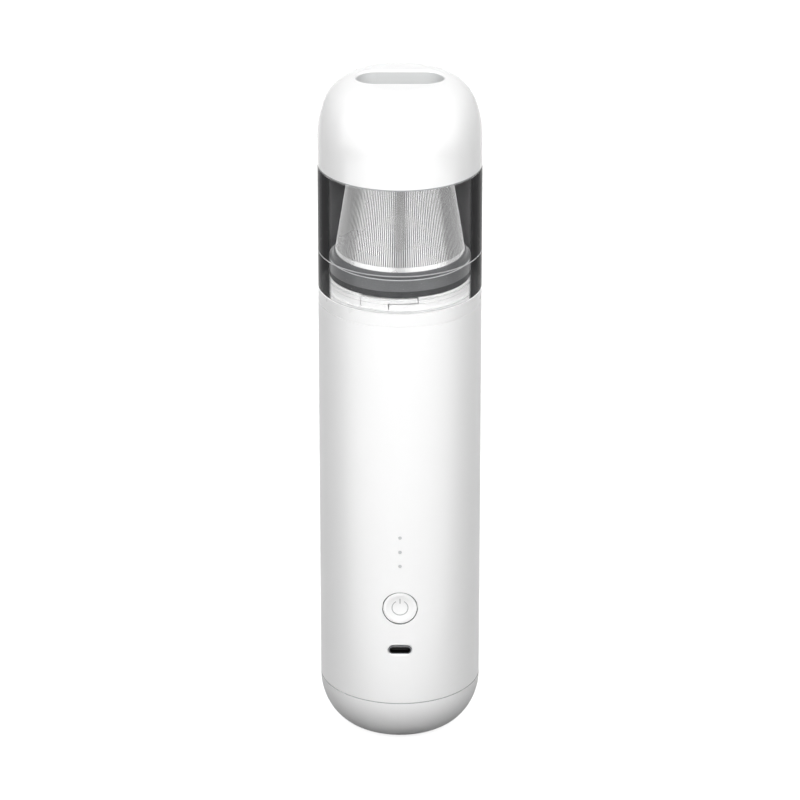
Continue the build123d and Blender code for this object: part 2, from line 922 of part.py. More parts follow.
def make_filter_frame():
    low = neck_z - skirt_depth
    step = skirt_radius - gasket_width / 4
    shelf = cone_base_radius + shelf_margin
    throat = pleat_inner(cone_base_radius) - shelf_margin
    floor_z = cone_z - flange_floor
    points = [
        (filter_bore, low),
        (skirt_radius - skirt_chamfer, low),
        (skirt_radius, low + skirt_lead),
        (skirt_radius, neck_z),
        (step, neck_z),
        (step, flange_z),
        (flange_radius, flange_z),
        (flange_radius, flange_rim_z - flange_edge),
        (flange_radius - flange_edge, flange_rim_z),
        (shelf + shelf_margin, flange_rim_z + shelf_slope),
        (shelf, cone_z),
        (throat, cone_z),
        (throat, floor_z),
        (filter_bore, floor_z - (filter_bore - throat) / 2),
    ]
    return turned(points)


def pleat_outer(radius):
    """Radius of the pleats' outer folds inside a cone of this outer radius."""
    return radius - cone_skin - pleat_gap


def pleat_inner(radius):
    """Radius of the pleats' inner folds inside a cone of this outer radius."""
    return pleat_outer(radius) - pleat_depth - pleat_paper


def make_filter_gasket():
    inner = skirt_radius - gasket_width / 4 + slip
    return ring(neck_radius - 2 * bin_edge, inner, neck_z, flange_z)


def make_cone():
    skin = [
        (cone_base_radius - cone_skin, cone_z),
        (cone_base_radius, cone_z),
        (cone_top_radius, cone_top_z),
        (cone_top_radius - cone_skin, cone_top_z),
    ]
    cone = turned(skin)
    low = cone_z + cone_base_band
    high = cone_top_z - cone_top_band
    reach = cone_base_radius + cone_skin
    slit = block(cone_top_radius / 2, reach, -slit_width / 2, slit_width / 2, low, high)
    slits = [Rot(0, 0, 360 / slit_count * (i + 0.5)) * slit for i in range(slit_count)]
    return cone - slits


def pleat_star(outer, inner):
    """Zigzag outline of the folded paper."""
    step = 180 / pleat_count
    return [polar(outer if i % 2 == 0 else inner, step * i) for i in range(2 * pleat_count)]


def make_pleats():
    solids = []
    for paper in (0, pleat_paper):
        faces = []
        for radius, z in ((cone_base_radius, cone_z), (cone_top_radius, cone_top_z)):
            outer = pleat_outer(radius) - paper
            star = pleat_star(outer, outer - pleat_depth)
            faces.append(Pos(0, 0, z) * make_face(Polyline(*star, close=True)))
        solids.append(loft(faces, ruled=True))
    return solids[0] - solids[1]


def make_filter_top():
    top = rod(cone_top_radius + filter_top_lap, cone_top_z, filter_top_z)
    return fillet(top.edges().group_by(Axis.Z)[-1], filter_top_edge)


pieces = {
    "bottom_cap": make_bottom_cap(),
    "foot_pad": make_foot_pad(),
    "cap_screws": make_cap_screws(),
    "chassis": make_chassis(),
    "left_cell": make_cell(-1),
    "right_cell": make_cell(1),
    "cell_link": make_cell_link(),
    "cell_tabs": make_cell_tabs(),
    "main_board": make_main_board(),
    "board_parts": make_board_parts(),
    "press_switch": make_switch(),
    "switch_plunger": make_plunger(),
    "button_cap": make_button(),
    "lamp_chips": make_lamp_chips(),
    "light_guide": make_light_guide(),
    "port_shell": make_port_shell(),
    "port_tongue": make_port_tongue(),
    "body_shell": make_body_shell(),
    "exhaust_foam": make_exhaust_foam(),
    "motor_deck": make_motor_deck(),
    "motor_cradle": make_motor_cradle(),
    "motor_pad": make_motor_pad(),
    "motor_endbell": make_motor_endbell(),
    "motor_can": make_motor_can(),
    "shaft_bushes": make_bushes(),
    "motor_magnets": make_magnets(),
    "motor_shaft": make_shaft(),
    "armature": make_armature(),
    "impeller": make_impeller(),
    "diffuser": make_diffuser(),
    "fan_cover": make_fan_cover(),
    "fan_cushion": make_fan_cushion(),
    "guard_grille": make_guard(),
    "lock_collar": make_collar(),
    "dust_bin": make_dust_bin(),
    "nozzle_gasket": make_nozzle_gasket(),
    "nozzle_cap": make_nozzle_cap(),
    "valve_seat": make_valve_seat(),
    "inlet_flap": make_flap(),
    "flap_pin": make_flap_pin(),
    "filter_frame": make_filter_frame(),
    "filter_gasket": make_filter_gasket(),
    "filter_cone": make_cone(),
    "filter_pleats": make_pleats(),
    "filter_top": make_filter_top(),
}

os.makedirs("parts", exist_ok=True)
for name, piece in pieces.items():
    shape = Compound(children=piece) if isinstance(piece, list) else piece
    export_step(shape, f"parts/{name}.step")
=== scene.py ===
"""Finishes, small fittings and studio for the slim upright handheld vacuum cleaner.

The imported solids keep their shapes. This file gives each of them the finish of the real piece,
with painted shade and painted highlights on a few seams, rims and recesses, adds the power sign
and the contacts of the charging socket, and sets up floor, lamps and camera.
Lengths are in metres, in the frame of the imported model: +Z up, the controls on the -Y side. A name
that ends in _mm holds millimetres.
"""

import logging
import math
from collections.abc import Callable, Mapping
from dataclasses import dataclass
from enum import Enum
from functools import cached_property, lru_cache
from typing import Protocol

import bmesh
import bpy
from mathutils import Matrix, Vector

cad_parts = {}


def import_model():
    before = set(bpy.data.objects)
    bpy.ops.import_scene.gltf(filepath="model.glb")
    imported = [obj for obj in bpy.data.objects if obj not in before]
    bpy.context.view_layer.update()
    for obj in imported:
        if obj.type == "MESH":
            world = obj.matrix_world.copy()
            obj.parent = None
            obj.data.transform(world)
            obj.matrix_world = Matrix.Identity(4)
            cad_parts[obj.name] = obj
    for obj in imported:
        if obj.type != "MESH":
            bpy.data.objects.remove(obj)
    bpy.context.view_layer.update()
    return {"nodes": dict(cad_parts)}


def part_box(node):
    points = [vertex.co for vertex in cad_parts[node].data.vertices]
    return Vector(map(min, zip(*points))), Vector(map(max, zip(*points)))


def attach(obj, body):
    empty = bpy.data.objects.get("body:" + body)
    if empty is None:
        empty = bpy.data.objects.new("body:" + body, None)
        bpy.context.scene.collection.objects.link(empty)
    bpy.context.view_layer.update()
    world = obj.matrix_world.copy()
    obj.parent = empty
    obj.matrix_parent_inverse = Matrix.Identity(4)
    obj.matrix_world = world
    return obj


log = logging.getLogger("handheld_vacuum")

Colour = tuple[float, float, float, float]
Triple = tuple[float, float, float]
Nodes = dict[str, bpy.types.Object]
Socket = bpy.types.NodeSocket
Settings = Mapping[str | int, object]
Face = bpy.types.MeshPolygon

MM = 0.001
WHITE: Colour = (1.0, 1.0, 1.0, 1.0)
BLACK: Colour = (0.0, 0.0, 0.0, 1.0)

# Nearly every value of a noise lies between these two.
NOISE_LOW, NOISE_HIGH = 0.3, 0.7
# How strongly each finer layer of a noise still shows.
LAYER_STRENGTH = 0.55
# Clouds are smooth, so their noise has fewer finer layers than a grain.
CLOUD_LAYERS = 2.0
# The Mix node names its sockets alike for numbers and colours, so they go by their places.
NUMBER_A, NUMBER_B, NUMBER_MIX = 2, 3, 0
COLOUR_A, COLOUR_B, COLOUR_MIX = 6, 7, 2


class Body(Enum):
    """The moving bodies that carry the pieces made here."""

    GRIP = "body"
    BUTTON = "button"


class Direction(Enum):
    """The way in which a metal was worked, as the stretch of its lines on X, Y and Z."""

    UPRIGHT = (1.0, 1.0, 0.03)
    ROUND = (0.03, 1.0, 1.0)


class LampRole(Enum):
    """What a lamp is there for: to light the piece, or only to show in its gloss."""

    LIGHT = "light"
    REFLECTION = "reflection"


# Colours and shader nodes


def linear(hex_colour: str) -> Colour:
    """Turns an sRGB hex colour into the linear values that shaders take.

    Args:
        hex_colour: The colour, such as "#F4F4F2".

    Returns:
        Red, green, blue and alpha, each from 0 to 1.
    """
    channels = [int(hex_colour[i : i + 2], 16) / 255 for i in (1, 3, 5)]
    bent = [c / 12.92 if c <= 0.04045 else ((c + 0.055) / 1.055) ** 2.4 for c in channels]
    return bent[0], bent[1], bent[2], 1.0


def darker(colour: Colour, share: float) -> Colour:
    """Takes a share of the light out of a colour."""
    return colour[0] * (1 - share), colour[1] * (1 - share), colour[2] * (1 - share), 1.0


def per_metre(size_mm: float) -> float:
    """Gives the texture scale at which one cell of a pattern is size_mm across."""
    return 1.0 / (size_mm * MM)


def span(start: float, stop: float, low: float, high: float) -> dict[str, float]:
    """Gives the settings of a node that carries start to stop over to low to high."""
    return {"From Min": start, "From Max": stop, "To Min": low, "To Max": high}


def add_node(
    tree: bpy.types.NodeTree,
    kind: str,
    settings: Settings | None = None,
    links: Mapping[str | int, Socket] | None = None,
) -> bpy.types.Node:
    """Adds one node to a tree, with its settings and what feeds it.

    Args:
        tree: The tree that gets the node.
        kind: Blender's name of the node type, less the ShaderNode before it.
        settings: Values by the name of a node property, or by the name or number of an input.
        links: Output sockets by the name or number of the input that they feed.

    Returns:
        The new node.
    """
    made = tree.nodes.new("ShaderNode" + kind)
    for key, value in (settings or {}).items():
        if isinstance(key, str) and hasattr(made, key):
            setattr(made, key, value)
        else:
            made.inputs[key].default_value = value
    for key, socket in (links or {}).items():
        tree.links.new(socket, made.inputs[key])
    return made


@dataclass(frozen=True)
class Relief:
    """The fine hills and hollows of a surface: their pattern, depth and strength."""

    height: Socket
    depth_mm: float
    strength: float = 1.0


@dataclass(frozen=True)
class Dullness:
    """A roughness that changes from patch to patch, between two shares of its middle value."""

    patches: Socket
    middle: float
    low: float = 0.9
    high: float = 1.1


class Surface:
    """A node material in the making, with the steps that the finishes share."""

    def __init__(self, name: str) -> None:
        """Starts an empty node material.

        Args:
            name: The material's name, which says what the real surface is.
        """
        self.material = bpy.data.materials.new(name)
        self.material.use_nodes = True
        self.tree = self.material.node_tree
        self.tree.nodes.clear()
        self.output = add_node(self.tree, "OutputMaterial")

    def around_axis(self, radius_mm: float) -> Socket:
        """Unrolls the space round the upright axis, so that a pattern follows a turned piece.

        Args:
            radius_mm: The radius at which the pattern keeps its real size, in millimetres.

        Returns:
            Distance along the circle, nothing, and height. The join is at the back.
        """
        tree = self.tree
        place = add_node(tree, "TexCoord")
        parts = add_node(tree, "SeparateXYZ", {}, {0: place.outputs["Object"]})
        forward = add_node(
            tree, "Math", {"operation": "MULTIPLY", 1: -1.0}, {0: parts.outputs["Y"]}
        )
        sides = {0: parts.outputs["X"], 1: forward.outputs[0]}
        angle = add_node(tree, "Math", {"operation": "ARCTAN2"}, sides)
        radius = {"operation": "MULTIPLY", 1: radius_mm * MM}
        along = add_node(tree, "Math", radius, {0: angle.outputs[0]})
        unrolled = add_node(
            tree, "CombineXYZ", {}, {"X": along.outputs[0], "Z": parts.outputs["Z"]}
        )
        return unrolled.outputs[0]

    def grain(
        self,
        size_mm: float,
        stretch: Triple = (1.0, 1.0, 1.0),
        layers: float = 3.0,
        turned_radius_mm: float = 0.0,
    ) -> Socket:
        """Lays out a noise in the piece's own space, at a real size.

        Args:
            size_mm: The distance between two bumps, in millimetres.
            stretch: Scale along X, Y and Z, below 1 where the pattern is drawn out.
            layers: How many finer layers the noise has.
            turned_radius_mm: Radius of a turned piece that the noise is wrapped round, or 0.

        Returns:
            The noise value, about 0.5 on average.
        """
        if turned_radius_mm:
            place = self.around_axis(turned_radius_mm)
        else:
            place = add_node(self.tree, "TexCoord").outputs["Object"]
        laid = add_node(self.tree, "Mapping", {"Scale": stretch}, {"Vector": place})
        noise = add_node(
            self.tree,
            "TexNoise",
            {"Scale": per_metre(size_mm), "Detail": layers, "Roughness": LAYER_STRENGTH},
            {"Vector": laid.outputs["Vector"]},
        )
        return noise.outputs[0]

    def tone(
        self,
        pattern: Socket,
        first: Colour,
        second: Colour,
        start: float = NOISE_LOW,
        stop: float = NOISE_HIGH,
        most: float = 1.0,
    ) -> Socket:
        """Colours the surface after a pattern.

        Args:
            pattern: The pattern's value over the surface.
            first: The colour where the pattern is low.
            second: The colour that comes in where it is high.
            start: The value at which the second colour starts to come in.
            stop: The value from which it comes in no further.
            most: The share of the second colour from there on.

        Returns:
            The colour over the surface.
        """
        share = add_node(self.tree, "MapRange", span(start, stop, 0.0, most), {"Value": pattern})
        colours = {"data_type": "RGBA", COLOUR_A: first, COLOUR_B: second}
        mix = add_node(self.tree, "Mix", colours, {0: share.outputs["Result"]})
        return mix.outputs[COLOUR_MIX]

    def skin(
        self,
        tone: Socket,
        settings: Settings,
        relief: Relief | None = None,
        dullness: Dullness | None = None,
    ) -> Socket:
        """Makes the shader from what the surface is like.

        Args:
            tone: The colour over the surface.
            settings: The shader's own values.
            relief: The hills and hollows, where it has some.
            dullness: The changing roughness, where it has one.

        Returns:
            The shader's output.
        """
        links = {"Base Color": tone}
        if relief:
            depth = {"Strength": relief.strength, "Distance": relief.depth_mm * MM}
            bump = add_node(self.tree, "Bump", depth, {"Height": relief.height})
            links["Normal"] = bump.outputs["Normal"]
        if dullness:
            low, high = dullness.middle * dullness.low, dullness.middle * dullness.high
            reach = span(NOISE_LOW, NOISE_HIGH, low, high)
            rough = add_node(self.tree, "MapRange", reach, {"Value": dullness.patches})
            links["Roughness"] = rough.outputs["Result"]
        return add_node(self.tree, "BsdfPrincipled", settings, links).outputs[0]

    def show(self, shader: Socket) -> bpy.types.Material:
        """Lets a shader be the one that shows, and hands out the finished material."""
        self.tree.links.new(shader, self.output.inputs["Surface"])
        return self.material


# Finishes


class Finish(Protocol):
    """What a piece is made of and how its surface was made."""

    name: str

    def build(self) -> bpy.types.Material:
        """Makes the material."""


@lru_cache(maxsize=None)
def material_of(finish: Finish) -> bpy.types.Material:
    """Makes a finish's material once and hands the same one out after that."""
    return finish.build()


@dataclass(frozen=True)
class MouldedPlastic:
    """An injection-moulded plastic.

    Its skin copies the mould: a spark-eroded grain breaks up the gloss, the melt leaves faint
    clouds of tone, and the sheen varies from place to place. The real grain is about 0.1 mm, too
    fine for the render, so it is drawn at grain_mm.
    """

    name: str
    colour: str
    roughness: float
    clouds: float
    grain_mm: float = 0.8
    depth_mm: float = 0.004
    cloud_mm: float = 45.0
    patches_per_cloud: float = 3.0
    ior: float = 1.53
    gloss: float = 0.5
    sheen_weight: float = 0.0
    sheen_roughness: float = 0.5

    def build(self) -> bpy.types.Material:
        """Makes the material.

        Returns:
            A node material with grain, clouded tone and uneven sheen.
        """
        surface = Surface(self.name)
        base = linear(self.colour)
        clouds = surface.grain(self.cloud_mm, layers=CLOUD_LAYERS)
        patches = surface.grain(self.cloud_mm / self.patches_per_cloud, layers=CLOUD_LAYERS)
        skin = surface.skin(
            surface.tone(clouds, base, darker(base, self.clouds)),
            {
                "IOR": self.ior,
                "Specular IOR Level": self.gloss,
                "Sheen Weight": self.sheen_weight,
                "Sheen Roughness": self.sheen_roughness,
            },
            Relief(surface.grain(self.grain_mm), self.depth_mm),
            Dullness(patches, self.roughness),
        )
        return surface.show(skin)


@dataclass(frozen=True)
class SmokedPolycarbonate:
    """Smoked clear polycarbonate with polished faces.

    Light passes the near wall almost untouched, and the far wall closes to a deep grey, because the
    line of sight has then crossed the tint several times. Where it runs along the wall, at the
    sides, the wall looks nearly solid.

    Attributes:
        near, far, edge: How much the near wall hides, the far wall, and a wall seen edge on.
        colour, edge_colour: The tint head on and edge on.
        edge_from, edge_to: The slants between which the wall closes, 0 head on and 1 edge on.
        faces_in: True for the bore, whose far side faces the eye.
        lost_to_tint: How much the wall takes of the light of lamps and reflections.
        gloss: The strength of its reflections, against 0.5 for most plastics.
        least_rubbed, most_rubbed: The shares of the roughness in clean and in rubbed places.
        rub_mm, rub_stretch: The size of these places, and their stretch on X, Y and Z.
    """

    name: str
    colour: str
    near: float
    far: float
    edge_colour: str
    edge: float
    edge_from: float = 0.9
    edge_to: float = 1.0
    faces_in: bool = False
    lost_to_tint: float = 0.03
    gloss: float = 0.006
    roughness: float = 0.08
    least_rubbed: float = 0.7
    most_rubbed: float = 1.4
    rub_mm: float = 9.0
    rub_stretch: Triple = (1.0, 1.0, 0.25)
    ior: float = 1.58

    def build(self) -> bpy.types.Material:
        """Makes the material.

        Returns:
            A node material that is clear in front and dark behind.
        """
        surface = Surface(self.name)
        tree = surface.tree
        path = add_node(tree, "LightPath")
        walls = {0: path.outputs["Transparent Depth"]}
        crossed = add_node(tree, "Math", {"operation": "GREATER_THAN", 1: 0.0}, walls)
        turned = {"operation": "COMPARE", 1: 0.0 if self.faces_in else 1.0}
        side = {0: add_node(tree, "NewGeometry").outputs["Backfacing"]}
        far_side = add_node(tree, "Math", turned, side)
        both = {0: crossed.outputs[0], 1: far_side.outputs[0]}
        behind = add_node(tree, "Math", {"operation": "MINIMUM"}, both)
        slant = add_node(tree, "LayerWeight").outputs["Facing"]
        reach = span(self.edge_from, self.edge_to, self.near, self.edge)
        in_front = add_node(tree, "MapRange", reach, {"Value": slant})
        seen = add_node(
            tree,
            "Mix",
            {"data_type": "FLOAT", NUMBER_B: self.far},
            {0: behind.outputs[0], NUMBER_A: in_front.outputs["Result"]},
        )
        opacity = add_node(
            tree,
            "Mix",
            {"data_type": "FLOAT", NUMBER_A: self.lost_to_tint},
            {0: path.outputs["Is Camera Ray"], NUMBER_B: seen.outputs[NUMBER_MIX]},
        )
        tints = linear(self.colour), linear(self.edge_colour)
        rubs = surface.grain(self.rub_mm, self.rub_stretch)
        solid = surface.skin(
            surface.tone(slant, *tints, self.edge_from, self.edge_to),
            {"IOR": self.ior, "Specular IOR Level": self.gloss},
            dullness=Dullness(rubs, self.roughness, self.least_rubbed, self.most_rubbed),
        )
        clear = add_node(tree, "BsdfTransparent")
        mix = add_node(
            tree, "MixShader", {}, {0: opacity.outputs[NUMBER_MIX], 1: clear.outputs[0], 2: solid}
        )
        return surface.show(mix.outputs[0])


@dataclass(frozen=True)
class Metal:
    """A drawn, rolled, turned or brushed metal.

    The work leaves fine lines in one direction, which stretch reflections across them and break the
    shine into streaks of slightly different tone. Real lines are under 0.1 mm apart, too fine for
    the render, so they are drawn at line_mm.
    """

    name: str
    colour: str
    roughness: float
    direction: Direction = Direction.ROUND
    line_mm: float = 0.4
    depth_mm: float = 0.002
    turned_radius_mm: float = 0.0
    streaks: float = 0.12
    swing: float = 0.15
    lines_per_patch: float = 24.0

    def build(self) -> bpy.types.Material:
        """Makes the material.

        Returns:
            A node material with lines along the direction of the work.
        """
        surface = Surface(self.name)
        base = linear(self.colour)
        lines = surface.grain(
            self.line_mm, self.direction.value, CLOUD_LAYERS, self.turned_radius_mm
        )
        patches = surface.grain(self.line_mm * self.lines_per_patch, layers=CLOUD_LAYERS)
        skin = surface.skin(
            surface.tone(lines, base, darker(base, self.streaks)),
            {"Metallic": 1.0},
            Relief(lines, self.depth_mm),
            Dullness(patches, self.roughness, 1 - self.swing, 1 + self.swing),
        )
        return surface.show(skin)


@dataclass(frozen=True)
class Rubber:
    """A moulded rubber or silicone.

    The skin is dull, with a velvety grain and a pale bloom in patches. The real grain is finer than
    the render shows, so it is drawn at grain_mm. Silicone lets light in as far as glow_mm.
    """

    name: str
    colour: str
    bloom: str
    roughness: float = 0.65
    grain_mm: float = 0.7
    depth_mm: float = 0.02
    softness: float = 0.0
    bloom_mm: float = 7.0
    bloom_share: float = 0.6
    glow_mm: float = 0.6
    glow_reach: Triple = (1.0, 0.9, 0.8)
    ior: float = 1.47

    def build(self) -> bpy.types.Material:
        """Makes the material.

        Returns:
            A dull node material with patches of bloom.
        """
        surface = Surface(self.name)
        patches = surface.grain(self.bloom_mm)
        grain = surface.grain(self.grain_mm)
        skin = surface.skin(
            surface.tone(
                patches, linear(self.colour), linear(self.bloom), most=self.bloom_share
            ),
            {
                "IOR": self.ior,
                "Subsurface Weight": self.softness,
                "Subsurface Radius": self.glow_reach,
                "Subsurface Scale": self.glow_mm * MM,
            },
            Relief(grain, self.depth_mm),
            Dullness(grain, self.roughness),
        )
        return surface.show(skin)


@dataclass(frozen=True)
class FilterFleece:
    """Pressed fibre fleece.

    Short fibres lie in all directions, so the face looks woolly and matt, and thin places let a
    darker tone through. Real fibres are 0.02 mm thick, too fine for the render, so they are drawn
    at fibre_mm.
    """

    name: str
    colour: str
    thin_colour: str
    fibre_mm: float = 0.35
    upright: Triple = (1.0, 1.0, 0.2)
    lying: Triple = (0.25, 0.25, 1.0)
    layers: float = 4.0
    depth_mm: float = 0.05
    strength: float = 0.8
    roughness: float = 0.92
    fuzz: float = 0.25
    ior: float = 1.45

    def build(self) -> bpy.types.Material:
        """Makes the material.

        Returns:
            A matt node material with crossing fibres.
        """
        surface = Surface(self.name)
        layers = {
            i: surface.grain(self.fibre_mm, stretch, self.layers)
            for i, stretch in enumerate((self.upright, self.lying))
        }
        fibres = add_node(surface.tree, "Math", {"operation": "MAXIMUM"}, layers).outputs[0]
        skin = surface.skin(
            surface.tone(fibres, linear(self.thin_colour), linear(self.colour)),
            {"Roughness": self.roughness, "IOR": self.ior, "Sheen Weight": self.fuzz},
            Relief(fibres, self.depth_mm, self.strength),
        )
        return surface.show(skin)


@dataclass(frozen=True)
class OpenCellFoam:
    """Open-cell polyurethane foam.

    Dark pores sit between lighter struts. The real pores are 0.3 mm across, too fine for the
    render, so they are drawn at pore_mm.
    """

    name: str
    colour: str
    pore_colour: str
    pore_mm: float = 0.9
    depth_mm: float = 0.25
    roughness: float = 0.95
    ior: float = 1.45

    def build(self) -> bpy.types.Material:
        """Makes the material.

        Returns:
            A matt node material with pores.
        """
        surface = Surface(self.name)
        place = {"Vector": add_node(surface.tree, "TexCoord").outputs["Object"]}
        cells = add_node(surface.tree, "TexVoronoi", {"Scale": per_metre(self.pore_mm)}, place)
        pores = cells.outputs["Distance"]
        skin = surface.skin(
            surface.tone(pores, linear(self.pore_colour), linear(self.colour), 0.0, 1.0),
            {"Roughness": self.roughness, "IOR": self.ior},
            Relief(pores, self.depth_mm),
        )
        return surface.show(skin)


@dataclass(frozen=True)
class CircuitBoard:
    """Glass-fibre board under solder mask.

    Copper tracks stand up a little under the mask and look lighter, and a faint mesh of the glass
    shows between them.
    """

    name: str
    mask: str
    track: str
    cell_mm: float = 1.4
    track_width: float = 0.11
    track_length: float = 3.0
    track_spacing: float = 0.8
    weave: str = "#616161"
    depth_mm: float = 0.04
    strength: float = 0.6
    roughness: float = 0.32
    ior: float = 1.55

    def build(self) -> bpy.types.Material:
        """Makes the material.

        Returns:
            A semi-gloss node material with tracks.
        """
        surface = Surface(self.name)
        place = {"Vector": add_node(surface.tree, "TexCoord").outputs["Object"]}
        quarter_turn = {"Rotation": (math.radians(90), 0.0, 0.0)}
        upright = add_node(surface.tree, "Mapping", quarter_turn, place)
        tracks = add_node(
            surface.tree,
            "TexBrick",
            {
                "Scale": per_metre(self.cell_mm),
                "Mortar Size": self.track_width,
                "Brick Width": self.track_length,
                "Row Height": self.track_spacing,
                "Color1": BLACK,
                "Color2": linear(self.weave),
                "Mortar": WHITE,
            },
            {"Vector": upright.outputs["Vector"]},
        ).outputs["Color"]
        skin = surface.skin(
            surface.tone(tracks, linear(self.mask), linear(self.track), 0.0, 1.0),
            {"Roughness": self.roughness, "IOR": self.ior},
            Relief(tracks, self.depth_mm, self.strength),
        )
        return surface.show(skin)


# The finishes of this cleaner, each with what it gives the eye

# A broad soft highlight runs down the grip.
GRIP_ABS = MouldedPlastic(
    "satin moulded white ABS", "#F5F5F5", roughness=0.36, depth_mm=0.002, clouds=0.012
)
# The cap takes no mirror of the floor it stands on.
CAP_ABS = MouldedPlastic("matt moulded white ABS", "#F5F5F5", roughness=0.62, clouds=0.012)
# The fine grain of neck and collar glows where the eye grazes it.
COLLAR_ABS = MouldedPlastic(
    "finely grained moulded white ABS", "#F2F2F2",
    roughness=0.3, grain_mm=0.5, depth_mm=0.002, clouds=0.008, sheen_weight=0.32,
)
# Painted shade: the broken edges of the seams and the button cap's sides are painted grey
# and read as a thin grey line.
PAINTED_SEAM_SHADE = MouldedPlastic(
    "white ABS with painted seam shade", "#A3A4A4",
    roughness=0.6, depth_mm=0.002, clouds=0.05, cloud_mm=6.0,
)
# The dome's mould was polished, so its highlight is sharp and bright.
NOZZLE_ABS = MouldedPlastic(
    "polished moulded white ABS", "#F2F2F2",
    roughness=0.13, grain_mm=1.2, depth_mm=0.0006, clouds=0.008,
)
# The duct's core pin wasn't polished, so its walls are rougher; their grey is painted shade inside
# the duct.
DUCT_PAINTED_SHADE_ABS = MouldedPlastic(
    "unpolished white ABS with painted duct shade", "#CBCCCC", roughness=0.45, depth_mm=0.003, clouds=0.012
)
# The wall is clear in the middle and closes fast towards the sides.
BIN_OUTSIDE = SmokedPolycarbonate(
    "smoked clear polycarbonate, outer face", "#464647",
    near=0.09, far=0.97, edge_colour="#2D2D2E", edge=0.96, edge_from=0.49, edge_to=0.535,
)
# A lighter grey behind the outer face gives the wall its depth; where the near bore is seen edge on,
# this grey is a painted highlight along the bore's edge.
BIN_BORE = SmokedPolycarbonate(
    "smoked clear polycarbonate, bore", "#727273",
    near=0.02, far=0.95, edge_colour="#727273", edge=0.4, edge_from=0.86, edge_to=0.97,
    faces_in=True,
)
# Painted highlight: the rim faces are painted pale and show as pale threads.
BIN_RIM_HIGHLIGHT = SmokedPolycarbonate(
    "smoked clear polycarbonate, cut rim with painted highlight", "#C8C9C9",
    near=0.3, far=0.3, edge_colour="#C8C9C9", edge=0.3,
)
# The broken lower edge draws a grey line above the collar.
BIN_SEAM = SmokedPolycarbonate(
    "smoked clear polycarbonate, broken lower edge", "#4A4A4B",
    near=0.28, far=0.6, edge_colour="#262627", edge=0.95, edge_from=0.66, edge_to=0.88,
)
# Painted highlight: the rounded line round the bin is painted pale as one bright thread.
BIN_LINE_HIGHLIGHT = SmokedPolycarbonate(
    "smoked clear polycarbonate, rounded line", "#D2D2D3",
    near=0.6, far=0.97, edge_colour="#C4C4C5", edge=0.85, edge_from=0.5, edge_to=0.6,
)
# Dull and mid grey, the gasket reads as a line drawn between white and smoke.
GASKET_GREY = Rubber("moulded grey thermoplastic rubber", "#8E9091", "#A2A4A5")
# Nearly black, with a pale bloom that keeps it from looking like a hole.
GASKET_BLACK = Rubber("moulded black nitrile rubber", "#1C1D1E", "#2E2F31", roughness=0.6)
# A dark grey skin with a quiet gloss, clouded where the melt met.
FRAME_ABS = MouldedPlastic(
    "moulded graphite ABS", "#525355", roughness=0.34, grain_mm=0.7, clouds=0.05
)
# Painted highlight: the flange's broken upper edge is painted pale as a thin bright line.
FRAME_EDGE_HIGHLIGHT = MouldedPlastic(
    "graphite ABS with a painted edge highlight", "#B4B5B6",
    roughness=0.25, grain_mm=0.7, depth_mm=0.002, clouds=0.05,
)
# Pale, even and a little dull, as from a plain mould.
INNER_ABS = MouldedPlastic(
    "moulded pale grey ABS", "#DADBDB", roughness=0.45, grain_mm=0.7, clouds=0.03
)
# Deep black with a faint mottle.
BLACK_PART = MouldedPlastic(
    "moulded black liquid-crystal polymer", "#131314", roughness=0.5, grain_mm=0.5, clouds=0.1
)
# A black tongue, and painted shade on the shell's inner faces, so that the socket's mouth looks dark.
SOCKET_BLACK_AND_SHADE = MouldedPlastic(
    "matt black socket insert and painted socket shade", "#060606", roughness=0.6, grain_mm=0.5, clouds=0.1, gloss=0.1
)
# Glass fibres that come to the skin make the black rough and cloudy.
FAN_NYLON = MouldedPlastic(
    "glass-filled black nylon", "#232425",
    roughness=0.5, grain_mm=0.5, depth_mm=0.01, clouds=0.25, cloud_mm=3.0,
)
# Frosted pins look like three pale grey dots when the lamps are off.
GUIDE_PC = MouldedPlastic(
    "frosted light-guide polycarbonate", "#C2C3C4",
    roughness=0.3, grain_mm=0.6, depth_mm=0.003, clouds=0.03,
)
# The shrunk sleeve is shiny and ripples a little over the cell.
CELL_SLEEVE = MouldedPlastic(
    "heat-shrunk PVC sleeve", "#2F6E8C",
    roughness=0.28, grain_mm=2.5, depth_mm=0.02, clouds=0.08, cloud_mm=12.0,
)
# Fired ceramic, off-white and smooth.
CHIP_CERAMIC = MouldedPlastic(
    "white emitter ceramic", "#ECEAD8",
    roughness=0.4, grain_mm=0.4, depth_mm=0.003, clouds=0.05, cloud_mm=1.5,
)
# Pressed and sintered powder: dull charcoal with a coarse mottle.
FERRITE = MouldedPlastic(
    "sintered ferrite", "#3A3937",
    roughness=0.7, grain_mm=0.5, depth_mm=0.01, clouds=0.3, cloud_mm=1.5, ior=1.9,
)
# The printed film is flat and even, a shade darker than the dish.
SIGN_PRINT = MouldedPlastic(
    "pad-printed grey ink", "#ABACAC", roughness=0.5, grain_mm=0.3, depth_mm=0.001, clouds=0.02
)
# Soft to look at: light comes back out of the flap's thin edges.
FLAP_SILICONE = Rubber(
    "moulded grey silicone", "#7C7F82", "#96999B",
    roughness=0.5, grain_mm=0.8, depth_mm=0.015, softness=0.25,
)
# The upright brushing draws each highlight out into a tall bright band.
FILTER_STEEL = Metal(
    "perforated brushed stainless steel", "#C8C8C8",
    roughness=0.27, direction=Direction.UPRIGHT, line_mm=1.2, depth_mm=0.001,
    turned_radius_mm=22.0,
)
# Grinding leaves fine rings and a clean, hard shine.
SHAFT_STEEL = Metal("ground stainless steel", "#BFC0C2", roughness=0.22, turned_radius_mm=1.5)
# Pins and screws as they come, bright with faint lines.
BRIGHT_STEEL = Metal("bright stainless steel", "#BFC0C2", roughness=0.24)
